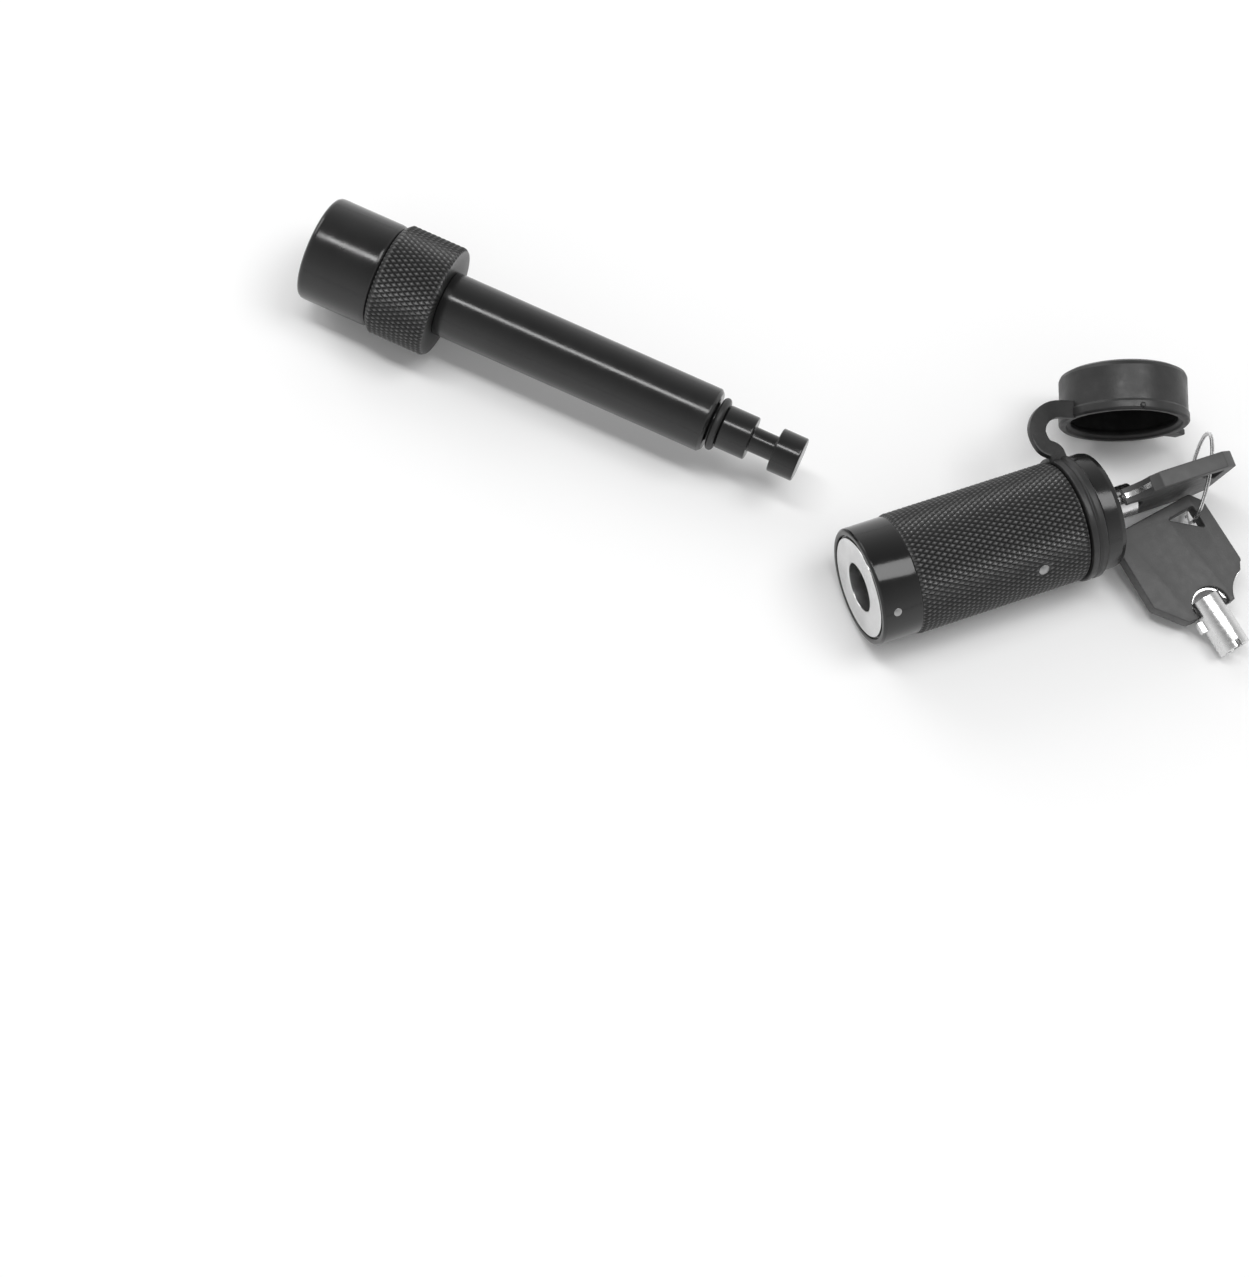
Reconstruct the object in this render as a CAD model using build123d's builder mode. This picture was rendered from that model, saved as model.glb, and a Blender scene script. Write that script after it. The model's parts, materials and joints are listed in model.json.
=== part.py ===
"""Hitch pin lock: locking hitch pin, lock barrel, rubber dust cap and two tubular keys on a split ring.

Millimetres. The pin lies along X with its grip centred on the origin, +X towards the locking tip
and +Z up. The pin, the barrel and the lowest points of the keys stand over one level floor.
"""
import os
from math import cos, radians, sin

from build123d import *

# Pin
SHANK_R = 7.9375
GRIP_HALF = 35.0
SPIGOT_R = 6.0
SPIGOT_END = -58.0
COLLAR_FACE = -35.1
SEAT_CONE = 0.6
COLLAR_BACK = -50.4
COLLAR_R = 13.85
CAP_R = 12.9
CAP_END = -68.6
GROOVE_R = 4.7
GROOVE_END = 37.8
STUB_R = 5.35
STUB_END = 45.2
NECK_R = 3.075
NECK_END = 51.3
BUTTON_R = 5.4
TIP_END = 57.7
O_RING_X = 36.55
O_RING_SECTION_R = 0.95

# Lock barrel: stations are measured along its axis from the mouth
MOUTH_X = 82.9
MOUTH_Y = -24.3
BARREL_YAW = 45.8
BORE_R = 5.9
PLATE_R = 12.05
PLATE_END = 7.0
FRONT_R = 14.2
SLEEVE_START = 10.0
SLEEVE_END = 52.6
SLEEVE_R = 14.6
CORE_R = 12.05
POCKET_END = 22.5
CHAMBER_START = 27.5
CHAMBER_R = 9.3
CASE_START = 36.0
CASE_END = 62.2
CLIP_START = 37.0
CLIP_END = 38.0
CLIP_R = 10.3
CLIP_GROOVE_R = 8.9
KEYWAY_FLOOR = 60.6
CASE_R = 9.5
CASE_SEAT_R = 9.55
PLUG_R = 6.45
PLUG_START = 38.0
PLUG_END = 60.5
PLUG_NECK_R = 4.0
PLUG_BORE_R = 6.5
KEYWAY_R = 4.15
POST_R = 2.85
POST_END = 61.9
PIN_BED = 56.6
STRAP_SEAT_R = 12.9
STRAP_SEAT_END = 57.3
STRAP_RING_START = 53.1
STRAP_RING_END = 57.0
STRAP_RING_R = 15.2
REAR_R = 14.1
REAR_END = 62.5
DOWEL_R = 1.3
FRONT_DOWEL = (3.5, 145.0, 8.5)
REAR_DOWEL = (40.5, 151.0, 9.8)

# Latch and cam
LATCH_START = 8.6
LATCH_END = 12.6
LATCH_LOW = 6.3
LATCH_TOP = 9.3
LATCH_HALF_WIDTH = 4.0
TAIL_LOW = 9.1
TAIL_TOP = 10.7
TAIL_HALF_WIDTH = 1.5
TAIL_END = 33.4
CAM_HIGH = 8.8
CAM_DROP = 3.0
CAM_START = 31.0
CAM_END = 34.0
SPRING_TOP = 11.9
LATCH_SPRING_R = 1.05
LATCH_SPRING_PITCH = 0.72
LATCH_SPRING_WIRE_R = 0.14
SCREW_R = 1.5
SCREW_END = 43.0
SCREW_HEAD_START = 28.9
SCREW_HEAD_R = 3.0

# Tumblers
TUMBLERS = 7
TUMBLER_CIRCLE_R = 3.45
TUMBLER_R = 0.42
TUMBLER_HOLE_R = 0.45
TUMBLER_SPRING_R = 0.38
TUMBLER_START = 50.0
SPRING_START = 46.2

# Keys: each key has its own axes, U along its barrel towards the tip and V across the head
KEY_R = 3.9
KEY_BORE_R = 3.0
KEY_ROOT = -2.8
KEY_TIP = 11.3
LUG_START = 1.6
LUG_LENGTH = 2.9
HEAD_THICK = 4.0
KEY_1_STATION = 68.0
KEY_1_LEAN = 11.0
KEY_2_POS = (160.03, 13.38, -9.79)
KEY_2_YAW = -34.6
KEY_2_PITCH = 7.6
KEY_2_ROLL = 3.3
RING_POS = (145.5, 41.2, -3.55)
RING_NORMAL_YAW = 15.0
RING_R = 11.0
WIRE_R = 0.5

# Dust cap and its strap
CUP_POS = (123.95, 44.1, 0.03)
CUP_YAW = -64.6
CUP_TILT = -12.6
CUP_R = 15.6
CUP_IN_R = 13.1
CUP_DEPTH = 12.6
CUP_END_WALL = 2.0
TAB_ANGLE = -28.0
TAB_REACH = 4.4
TAB_WIDTH = 4.0
TAB_THICK = 1.6
NUB_ANGLE = 88.0
STRAP_WIDTH = 4.2
STRAP_THICK = 1.7
STRAP_POINTS = (
    (112.9, 23.0, 8.6), (108.3, 24.0, 9.6), (105.4, 27.2, 9.9), (105.0, 31.4, 9.2),
    (106.9, 35.6, 7.6), (111.3, 38.9, 5.9),
)
STRAP_ENDS = ((-0.55, 0.53, 0.4), (0.85, 0.5, -0.2))


def heading(yaw):
    """Level unit vector at an angle from +X."""
    return Vector(cos(radians(yaw)), sin(radians(yaw)), 0)


def closed(plane, outline):
    """Closed outline on a plane; for a turned piece its points are (along the axis, radius) pairs."""
    with BuildSketch(plane) as drawn:
        with BuildLine():
            Polyline(*outline, close=True)
        make_face()
    return drawn.sketch


def station(distance):
    """Plane square to the barrel axis, X to the left, Y up, at a distance from the mouth."""
    return Plane(MOUTH + BARREL_DIR * distance, x_dir=BARREL_LEFT, z_dir=BARREL_DIR)


UP = Vector(0, 0, 1)
PIN = Plane((0, 0, 0), x_dir=(1, 0, 0), z_dir=(0, -1, 0))
MOUTH = Vector(MOUTH_X, MOUTH_Y, 0)
BARREL_DIR = heading(BARREL_YAW)
BARREL_LEFT = UP.cross(BARREL_DIR)
BARREL = Plane(MOUTH, x_dir=BARREL_DIR, z_dir=BARREL_DIR.cross(UP))
PIN_AXIS = Axis((0, 0, 0), (1, 0, 0))
BARREL_AXIS = Axis(MOUTH, BARREL_DIR)

LEAN = radians(KEY_1_LEAN)
KEY_1_NORMAL = BARREL_LEFT * cos(LEAN) + UP * sin(LEAN)
KEY_1 = Plane(MOUTH + BARREL_DIR * KEY_1_STATION, x_dir=BARREL_DIR * -1, z_dir=KEY_1_NORMAL)
KEY_2_DIR = heading(KEY_2_YAW) * cos(radians(KEY_2_PITCH)) - UP * sin(radians(KEY_2_PITCH))
KEY_2_ACROSS = UP.cross(KEY_2_DIR).normalized()
KEY_2_FLAT = KEY_2_DIR.cross(KEY_2_ACROSS)
KEY_2_NORMAL = KEY_2_FLAT * cos(radians(KEY_2_ROLL)) - KEY_2_ACROSS * sin(radians(KEY_2_ROLL))
KEY_2 = Plane(KEY_2_POS, x_dir=KEY_2_DIR, z_dir=KEY_2_NORMAL)

CUP_DIR = heading(CUP_YAW) * cos(radians(CUP_TILT)) + UP * sin(radians(CUP_TILT))
CUP = Plane(CUP_POS, x_dir=CUP_DIR, z_dir=CUP_DIR.cross(UP))
CUP_FACE = Plane(CUP_POS, x_dir=heading(CUP_YAW + 90), z_dir=CUP_DIR)
RING_NORMAL = heading(RING_NORMAL_YAW)
RING = Plane(RING_POS, x_dir=RING_NORMAL, z_dir=RING_NORMAL.cross(UP))

# ---------------------------------------------------------------- pin
with BuildPart() as pin_shank:
    revolve(
        closed(PIN, [
            (SPIGOT_END, 0), (SPIGOT_END, SPIGOT_R), (COLLAR_FACE - SEAT_CONE, SPIGOT_R),
            (COLLAR_FACE, SHANK_R),
            (GRIP_HALF - 1, SHANK_R), (GRIP_HALF, SHANK_R - 1), (GRIP_HALF, GROOVE_R),
            (GROOVE_END, GROOVE_R), (GROOVE_END, STUB_R - 0.3), (GROOVE_END + 0.3, STUB_R),
            (STUB_END - 0.3, STUB_R), (STUB_END, STUB_R - 0.3), (STUB_END, NECK_R), (NECK_END, NECK_R),
            (NECK_END, BUTTON_R - 0.5), (NECK_END + 0.5, BUTTON_R), (TIP_END - 0.8, BUTTON_R),
            (TIP_END, BUTTON_R - 0.8), (TIP_END, 0),
        ]),
        axis=PIN_AXIS,
    )
pin_shank.part.label = "pin_shank"

with BuildPart() as head_knurled_collar:
    revolve(
        closed(PIN, [
            (COLLAR_BACK, SPIGOT_R), (COLLAR_BACK, CAP_R - 0.3), (COLLAR_BACK + 1.4, COLLAR_R),
            (COLLAR_FACE - 0.6, COLLAR_R), (COLLAR_FACE, COLLAR_R - 0.6), (COLLAR_FACE, SHANK_R),
            (COLLAR_FACE - SEAT_CONE, SPIGOT_R),
        ]),
        axis=PIN_AXIS,
    )
head_knurled_collar.part.label = "head_knurled_collar"

with BuildPart() as head_cap:
    revolve(
        closed(PIN, [
            (CAP_END, 0), (CAP_END, CAP_R), (COLLAR_BACK, CAP_R), (COLLAR_BACK, SPIGOT_R),
            (SPIGOT_END, SPIGOT_R), (SPIGOT_END, 0),
        ]),
        axis=PIN_AXIS,
    )
    fillet(head_cap.faces().sort_by(Axis.X)[0].edges(), 1.5)
head_cap.part.label = "head_cap"

with BuildPart() as tip_o_ring:
    with BuildSketch(PIN):
        with Locations((O_RING_X, GROOVE_R + O_RING_SECTION_R)):
            Circle(O_RING_SECTION_R)
    revolve(axis=PIN_AXIS)
tip_o_ring.part.label = "tip_o_ring"

# ---------------------------------------------------------------- barrel housing
dowels = []
for distance, angle, inner in (FRONT_DOWEL, REAR_DOWEL):
    outward = BARREL_LEFT * cos(radians(angle)) + UP * sin(radians(angle))
    foot = MOUTH + BARREL_DIR * distance + outward * inner
    dowels.append(Plane(foot, z_dir=outward))

with BuildPart() as front_face_plate:
    revolve(
        closed(BARREL, [
            (0, BORE_R + 0.3), (0, PLATE_R - 0.2), (0.2, PLATE_R), (PLATE_END, PLATE_R),
            (PLATE_END, BORE_R), (0.3, BORE_R),
        ]),
        axis=BARREL_AXIS,
    )
    with BuildSketch(dowels[0]):
        Circle(DOWEL_R)
    extrude(amount=FRONT_R, mode=Mode.SUBTRACT)
front_face_plate.part.label = "front_face_plate"

with BuildPart() as front_collar:
    revolve(
        closed(BARREL, [
            (0, PLATE_R + 0.55), (0, FRONT_R - 0.5), (0.5, FRONT_R), (SLEEVE_START, FRONT_R),
            (SLEEVE_START, PLATE_R), (0.9, PLATE_R), (0.9, PLATE_R + 0.55),
        ]),
        axis=BARREL_AXIS,
    )
    with BuildSketch(dowels[0]):
        Circle(DOWEL_R)
    extrude(amount=FRONT_R, mode=Mode.SUBTRACT)
front_collar.part.label = "front_collar"

with BuildPart() as knurled_sleeve:
    revolve(
        closed(BARREL, [
            (SLEEVE_START, CORE_R), (SLEEVE_START, SLEEVE_R - 0.6), (SLEEVE_START + 0.6, SLEEVE_R),
            (SLEEVE_END - 0.4, SLEEVE_R), (SLEEVE_END, SLEEVE_R - 0.4), (SLEEVE_END, CORE_R),
        ]),
        axis=BARREL_AXIS,
    )
    with BuildSketch(dowels[1]):
        Circle(DOWEL_R)
    extrude(amount=FRONT_R, mode=Mode.SUBTRACT)
knurled_sleeve.part.label = "knurled_sleeve"

with BuildPart() as inner_core:
    revolve(
        closed(BARREL, [
            (PLATE_END, BORE_R), (PLATE_END, CORE_R), (SLEEVE_END, CORE_R), (SLEEVE_END, CASE_SEAT_R),
            (CLIP_END + 0.1, CASE_SEAT_R), (CLIP_END + 0.1, CLIP_R + 0.1), (CLIP_START - 0.1, CLIP_R + 0.1),
            (CLIP_START - 0.1, CASE_SEAT_R), (CASE_START - 1, CASE_SEAT_R), (CASE_START - 1, CHAMBER_R),
            (CHAMBER_START, CHAMBER_R), (CHAMBER_START, 0), (POCKET_END, 0),
            (POCKET_END, BORE_R),
        ]),
        axis=BARREL_AXIS,
    )
    with BuildSketch(station(LATCH_START - 0.2)):
        with Locations((0, CORE_R / 2)):
            Rectangle(2 * LATCH_HALF_WIDTH + 0.4, CORE_R + 2)
    extrude(amount=LATCH_END - LATCH_START + 0.4, mode=Mode.SUBTRACT)
    with BuildSketch(station(LATCH_END)):
        with Locations((0, (TAIL_LOW - CAM_DROP - 0.2 + CORE_R) / 2 + 0.4)):
            Rectangle(2 * TAIL_HALF_WIDTH + 0.4, CORE_R - TAIL_LOW + CAM_DROP + 1)
    extrude(amount=TAIL_END - LATCH_END + 0.5, mode=Mode.SUBTRACT)
    with BuildSketch(dowels[1]):
        Circle(DOWEL_R)
    extrude(amount=FRONT_R, mode=Mode.SUBTRACT)
inner_core.part.label = "inner_core"

with BuildPart() as rear_collar:
    revolve(
        closed(BARREL, [
            (SLEEVE_END, CASE_SEAT_R), (SLEEVE_END, STRAP_SEAT_R), (STRAP_SEAT_END, STRAP_SEAT_R),
            (STRAP_SEAT_END, REAR_R - 0.3), (STRAP_SEAT_END + 0.3, REAR_R), (REAR_END - 1.2, REAR_R),
            (REAR_END - 0.35, REAR_R - 0.35),
            (REAR_END, REAR_R - 1.2), (REAR_END, CASE_SEAT_R),
        ]),
        axis=BARREL_AXIS,
    )
rear_collar.part.label = "rear_collar"

with BuildPart() as strap_ring:
    revolve(
        closed(BARREL, [
            (STRAP_RING_START, STRAP_SEAT_R), (STRAP_RING_START, STRAP_RING_R - 0.4),
            (STRAP_RING_START + 0.4, STRAP_RING_R), (STRAP_RING_END - 0.4, STRAP_RING_R),
            (STRAP_RING_END, STRAP_RING_R - 0.4), (STRAP_RING_END, STRAP_SEAT_R),
        ]),
        axis=BARREL_AXIS,
    )
strap_ring.part.label = "strap_ring"

with BuildPart() as front_cross_pin:
    with BuildSketch(dowels[0]):
        Circle(DOWEL_R)
    extrude(amount=FRONT_R - FRONT_DOWEL[2])
front_cross_pin.part.label = "front_cross_pin"

with BuildPart() as rear_cross_pin:
    with BuildSketch(dowels[1]):
        Circle(DOWEL_R)
    extrude(amount=SLEEVE_R - REAR_DOWEL[2])
rear_cross_pin.part.label = "rear_cross_pin"

with BuildPart() as lock_cylinder_case:
    revolve(
        closed(BARREL, [
            (CASE_START, PLUG_BORE_R), (CASE_START, CASE_R), (CLIP_START, CASE_R),
            (CLIP_START, CLIP_GROOVE_R), (CLIP_END, CLIP_GROOVE_R), (CLIP_END, CASE_R),
            (CASE_END - 0.3, CASE_R), (CASE_END, CASE_R - 0.3), (CASE_END, KEYWAY_R),
            (KEYWAY_FLOOR, KEYWAY_R), (KEYWAY_FLOOR, PLUG_BORE_R),
        ]),
        axis=BARREL_AXIS,
    )
lock_cylinder_case.part.label = "lock_cylinder_case"

with BuildPart() as retaining_clip:
    revolve(
        closed(BARREL, [
            (CLIP_START + 0.05, CLIP_GROOVE_R + 0.05), (CLIP_START + 0.05, CLIP_R),
            (CLIP_END - 0.05, CLIP_R), (CLIP_END - 0.05, CLIP_GROOVE_R + 0.05),
        ]),
        axis=BARREL_AXIS,
        revolution_arc=310,
    )
retaining_clip.part.label = "retaining_clip"

# ---------------------------------------------------------------- plug, cam, tumblers
with BuildPart() as lock_plug:
    revolve(
        closed(BARREL, [
            (PLUG_START, 0), (PLUG_START, PLUG_R), (PLUG_END, PLUG_R), (PLUG_END, PLUG_NECK_R),
            (PIN_BED, PLUG_NECK_R), (PIN_BED, POST_R), (POST_END - 0.3, POST_R),
            (POST_END, POST_R - 0.3), (POST_END, 0),
        ]),
        axis=BARREL_AXIS,
    )
    with BuildSketch(station(SPRING_START)):
        with PolarLocations(TUMBLER_CIRCLE_R, TUMBLERS):
            Circle(TUMBLER_HOLE_R)
    extrude(amount=PIN_BED - SPRING_START, mode=Mode.SUBTRACT)
    with BuildSketch(station(PLUG_START)):
        Circle(SCREW_R)
    extrude(amount=SCREW_END - PLUG_START + 0.2, mode=Mode.SUBTRACT)
lock_plug.part.label = "lock_plug"

cam_outline = []
for step in range(0, 91, 6):
    reach = CAM_HIGH - CAM_DROP * step / 90
    turn = radians(90 + step)
    cam_outline.append((reach * cos(turn), reach * sin(turn)))
for step in range(102, 337, 12):
    turn = radians(90 + step)
    cam_outline.append(((CAM_HIGH - CAM_DROP) * cos(turn), (CAM_HIGH - CAM_DROP) * sin(turn)))

with BuildPart() as plug_cam:
    extrude(closed(station(CAM_START), cam_outline), amount=CAM_END - CAM_START)
    with BuildSketch(station(CAM_END)):
        Circle(PLUG_NECK_R)
    extrude(amount=PLUG_START - CAM_END)
    with BuildSketch(station(CAM_START)):
        Circle(SCREW_R)
    extrude(amount=PLUG_START - CAM_START, mode=Mode.SUBTRACT)
plug_cam.part.label = "plug_cam"

with BuildPart() as cam_screw:
    revolve(
        closed(BARREL, [
            (SCREW_HEAD_START, 0), (SCREW_HEAD_START, SCREW_HEAD_R - 0.4),
            (SCREW_HEAD_START + 0.4, SCREW_HEAD_R), (CAM_START, SCREW_HEAD_R), (CAM_START, SCREW_R),
            (SCREW_END, SCREW_R), (SCREW_END, 0),
        ]),
        axis=BARREL_AXIS,
    )
cam_screw.part.label = "cam_screw"

with BuildPart() as tumbler_pins:
    with BuildSketch(station(TUMBLER_START)):
        with PolarLocations(TUMBLER_CIRCLE_R, TUMBLERS):
            Circle(TUMBLER_R)
    extrude(amount=PIN_BED - TUMBLER_START)
tumbler_pins.part.label = "tumbler_pins"

with BuildPart() as tumbler_springs:
    with BuildSketch(station(SPRING_START + 0.1)):
        with PolarLocations(TUMBLER_CIRCLE_R, TUMBLERS):
            Circle(TUMBLER_SPRING_R)
            Circle(TUMBLER_SPRING_R / 2, mode=Mode.SUBTRACT)
    extrude(amount=TUMBLER_START - SPRING_START - 0.2)
tumbler_springs.part.label = "tumbler_springs"

# ---------------------------------------------------------------- latch
with BuildPart() as latch_bolt:
    with BuildSketch(station(LATCH_START)):
        with Locations((0, (LATCH_LOW + LATCH_TOP) / 2)):
            Rectangle(2 * LATCH_HALF_WIDTH, LATCH_TOP - LATCH_LOW)
    extrude(amount=LATCH_END - LATCH_START)
    with BuildSketch(station(LATCH_END - 1)):
        with Locations((0, (TAIL_LOW + TAIL_TOP) / 2)):
            Rectangle(2 * TAIL_HALF_WIDTH, TAIL_TOP - TAIL_LOW)
    extrude(amount=TAIL_END - LATCH_END + 1)
    with BuildSketch(station(LATCH_END - 1)):
        with Locations((0, (LATCH_TOP + TAIL_TOP) / 2)):
            Rectangle(2 * TAIL_HALF_WIDTH, TAIL_TOP - LATCH_TOP)
    extrude(amount=1)
latch_bolt.part.label = "latch_bolt"

spring_foot = MOUTH + BARREL_DIR * (LATCH_START + 1.4) + UP * (LATCH_TOP + 0.15)
with BuildPart() as latch_spring:
    with BuildLine(Plane(spring_foot)) as coil:
        Helix(pitch=LATCH_SPRING_PITCH, height=SPRING_TOP - LATCH_TOP - 0.4, radius=LATCH_SPRING_R)
    with BuildSketch(Plane(coil.line @ 0, z_dir=coil.line % 0)):
        Circle(LATCH_SPRING_WIRE_R)
    sweep(path=coil.line)
latch_spring.part.label = "latch_spring"


# ---------------------------------------------------------------- keys
HEAD_OUTLINE = (
    (1.0, 3.0), (1.0, 6.8), (-6.3, 12.7), (-23.2, 12.5), (-26.2, 10.2), (-26.2, -10.2),
    (-23.2, -12.5), (-6.3, -12.7), (1.0, -6.8), (1.0, -3.0),
)
THUMB_CUT = (2.6, 13.0)
THUMB_CUT_R = 7.2
ROOT_NOTCH = (-0.3, 0)
ROOT_NOTCH_R = 4.7
KEY_BORE_START = 3.5
HOLE_OUTLINE = ((-23.3, 1.9), (-23.3, 9.4), (-17.2, 9.4))


def key_root(plane):
    """Plane square to a key's barrel, at the barrel's root."""
    return Plane(plane.origin + plane.x_dir * KEY_ROOT, x_dir=plane.y_dir, z_dir=plane.x_dir)


def key_head(plane):
    """Plastic head: chamfered plate, round notch about the barrel root, triangular ring hole."""
    back = plane.offset(-HEAD_THICK / 2)
    with BuildPart() as head:
        extrude(closed(back, HEAD_OUTLINE), amount=HEAD_THICK)
        with BuildSketch(back):
            with Locations(THUMB_CUT):
                Circle(THUMB_CUT_R)
            with Locations(ROOT_NOTCH):
                Circle(ROOT_NOTCH_R)
        extrude(amount=HEAD_THICK, mode=Mode.SUBTRACT)
        extrude(closed(back, HOLE_OUTLINE), amount=HEAD_THICK, mode=Mode.SUBTRACT)
        for side in (-1, 1):
            with BuildSketch(plane.offset(-1.0)):
                with Locations((0.0, side * 4.5)):
                    Rectangle(2.0, 1.8)
            extrude(amount=2.0)
        with BuildSketch(key_root(plane)):
            Circle(KEY_R)
        extrude(amount=KEY_TIP, mode=Mode.SUBTRACT)
    return head.part


def key_barrel(plane):
    """Steel key tube with its outside lug and the notch cut in its working end."""
    root = key_root(plane)
    tip = root.offset(KEY_TIP - KEY_ROOT)
    with BuildPart() as tube:
        with BuildSketch(root):
            Circle(KEY_R)
        extrude(amount=KEY_TIP - KEY_ROOT)
        with BuildSketch(root.offset(LUG_START - KEY_ROOT)):
            with Locations((-KEY_R - 0.2, 0)):
                Rectangle(2.0, 1.8)
        extrude(amount=LUG_LENGTH)
        with BuildSketch(root.offset(KEY_BORE_START)):
            Circle(KEY_BORE_R)
        extrude(amount=KEY_TIP, mode=Mode.SUBTRACT)
        with BuildSketch(tip):
            with Locations((0, KEY_R)):
                Rectangle(1.2, 2.4)
        extrude(amount=-1.6, mode=Mode.SUBTRACT)
    return tube.part


with BuildPart() as key_1_head:
    add(key_head(KEY_1))
key_1_head.part.label = "key_1_head"

with BuildPart() as key_1_barrel:
    add(key_barrel(KEY_1))
key_1_barrel.part.label = "key_1_barrel"

with BuildPart() as key_2_head:
    add(key_head(KEY_2))
key_2_head.part.label = "key_2_head"

with BuildPart() as key_2_barrel:
    add(key_barrel(KEY_2))
key_2_barrel.part.label = "key_2_barrel"

with BuildPart() as key_ring:
    with BuildSketch(RING):
        with Locations((0, RING_R)):
            Circle(WIRE_R)
    revolve(axis=Axis(RING.origin, RING.x_dir))
key_ring.part.label = "key_ring"

# ---------------------------------------------------------------- dust cap and strap
with BuildPart() as dust_cap:
    revolve(
        closed(CUP, [
            (0, CUP_IN_R), (0, CUP_R - 0.5), (-0.5, CUP_R), (-1.9, CUP_R), (-2.2, CUP_R - 0.3),
            (1.5 - CUP_DEPTH, CUP_R - 0.3), (0.4 - CUP_DEPTH, CUP_R - 0.75), (-CUP_DEPTH, CUP_R - 1.9),
            (-CUP_DEPTH, 0), (CUP_END_WALL - CUP_DEPTH, 0), (CUP_END_WALL - CUP_DEPTH, CUP_IN_R - 1),
            (CUP_END_WALL + 1 - CUP_DEPTH, CUP_IN_R),
        ]),
        axis=Axis(CUP.origin, CUP.x_dir),
    )
    with BuildSketch(CUP_FACE.offset(-TAB_THICK)):
        with PolarLocations(CUP_R + 0.7, 1, start_angle=TAB_ANGLE):
            Rectangle(TAB_REACH, TAB_WIDTH)
    extrude(amount=TAB_THICK)
    with BuildSketch(CUP_FACE.offset(-1.5)):
        with PolarLocations(CUP_R, 1, start_angle=NUB_ANGLE):
            Circle(0.7)
    extrude(amount=1.2)
dust_cap.part.label = "dust_cap"

with BuildPart() as cap_strap:
    with BuildLine() as strap_path:
        Spline(*STRAP_POINTS, tangents=STRAP_ENDS)
    with BuildSketch(Plane(strap_path.line @ 0, x_dir=BARREL_DIR, z_dir=strap_path.line % 0)):
        RectangleRounded(STRAP_WIDTH, STRAP_THICK, 0.4)
    sweep(path=strap_path.line, transition=Transition.ROUND)
    with BuildSketch(station(REAR_END)):
        Circle(STRAP_RING_R + 0.1)
    extrude(amount=-REAR_END, mode=Mode.SUBTRACT)
    with BuildSketch(CUP_FACE):
        Circle(CUP_R)
    extrude(amount=-CUP_DEPTH, mode=Mode.SUBTRACT)
cap_strap.part.label = "cap_strap"

os.makedirs("parts", exist_ok=True)
for piece in (
    pin_shank, head_knurled_collar, head_cap, tip_o_ring, front_face_plate, front_collar,
    knurled_sleeve, inner_core, rear_collar, strap_ring, front_cross_pin, rear_cross_pin,
    lock_cylinder_case, retaining_clip, lock_plug, plug_cam, cam_screw, tumbler_pins,
    tumbler_springs, latch_bolt, latch_spring, key_1_head, key_1_barrel, key_2_head,
    key_2_barrel, key_ring, dust_cap, cap_strap,
):
    export_step(piece.part, f"parts/{piece.part.label}.step")
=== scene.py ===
"""Looks of the hitch pin lock: turned, knurled, moulded and plated pieces around the CAD frame."""
import json
from math import cos, pi, radians, sin, sqrt

import bmesh
import bpy
from mathutils import Matrix, Vector


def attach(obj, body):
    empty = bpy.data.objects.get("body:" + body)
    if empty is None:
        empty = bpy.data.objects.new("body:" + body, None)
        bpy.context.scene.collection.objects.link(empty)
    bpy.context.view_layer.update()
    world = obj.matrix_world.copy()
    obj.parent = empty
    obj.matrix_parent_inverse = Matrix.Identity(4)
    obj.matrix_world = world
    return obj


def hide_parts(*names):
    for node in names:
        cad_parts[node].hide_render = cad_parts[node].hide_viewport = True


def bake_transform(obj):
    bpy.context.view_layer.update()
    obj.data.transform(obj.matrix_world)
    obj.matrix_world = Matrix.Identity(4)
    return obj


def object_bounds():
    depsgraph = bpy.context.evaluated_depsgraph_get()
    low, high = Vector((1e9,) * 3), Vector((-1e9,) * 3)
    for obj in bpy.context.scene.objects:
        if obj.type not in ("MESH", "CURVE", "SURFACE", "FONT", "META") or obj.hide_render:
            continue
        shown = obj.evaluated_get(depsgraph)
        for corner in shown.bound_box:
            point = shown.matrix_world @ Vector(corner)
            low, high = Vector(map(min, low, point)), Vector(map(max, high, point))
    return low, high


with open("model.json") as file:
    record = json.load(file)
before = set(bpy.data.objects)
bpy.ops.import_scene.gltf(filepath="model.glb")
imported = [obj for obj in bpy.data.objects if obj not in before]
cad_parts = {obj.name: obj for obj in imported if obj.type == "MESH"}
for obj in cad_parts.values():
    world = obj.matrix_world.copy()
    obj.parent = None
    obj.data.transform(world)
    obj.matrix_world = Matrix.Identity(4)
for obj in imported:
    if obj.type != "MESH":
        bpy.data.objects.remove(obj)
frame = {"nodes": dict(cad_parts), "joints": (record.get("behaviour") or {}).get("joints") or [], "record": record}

CAD_BOX = [list(corner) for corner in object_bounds()]
MM = 0.001
UP = Vector((0, 0, 1))
ROUND = 160

# ---------------------------------------------------------------- places, from the frame
RECORD = frame["record"]
MOUTH_MOUNT = next(m for m in RECORD["mounts"] if m["name"] == "mouth")
MOUTH_DEPTH = 4.0
BARREL_DIR = -Vector(MOUTH_MOUNT["axis"]).normalized()
MOUTH = Vector(MOUTH_MOUNT["pos_m"]) - BARREL_DIR * MOUTH_DEPTH * MM
RING_JOINT = next(j for j in frame["joints"] if j["name"] == "ring_slip")
RING_CENTRE = Vector(RING_JOINT["pos_m"])
RING_NORMAL = Vector(RING_JOINT["axis"]).normalized()
FLOOR_Z = CAD_BOX[0][2]


def heading(yaw):
    """Level unit vector at an angle from +X."""
    return Vector((cos(radians(yaw)), sin(radians(yaw)), 0))


def axes(origin, along, normal):
    """Matrix with local X along, local Z as near normal as it can be, at a point in metres."""
    x = along.normalized()
    y = normal.cross(x).normalized()
    z = x.cross(y)
    matrix = Matrix((x, y, z)).transposed().to_4x4()
    matrix.translation = origin
    return matrix


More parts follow.
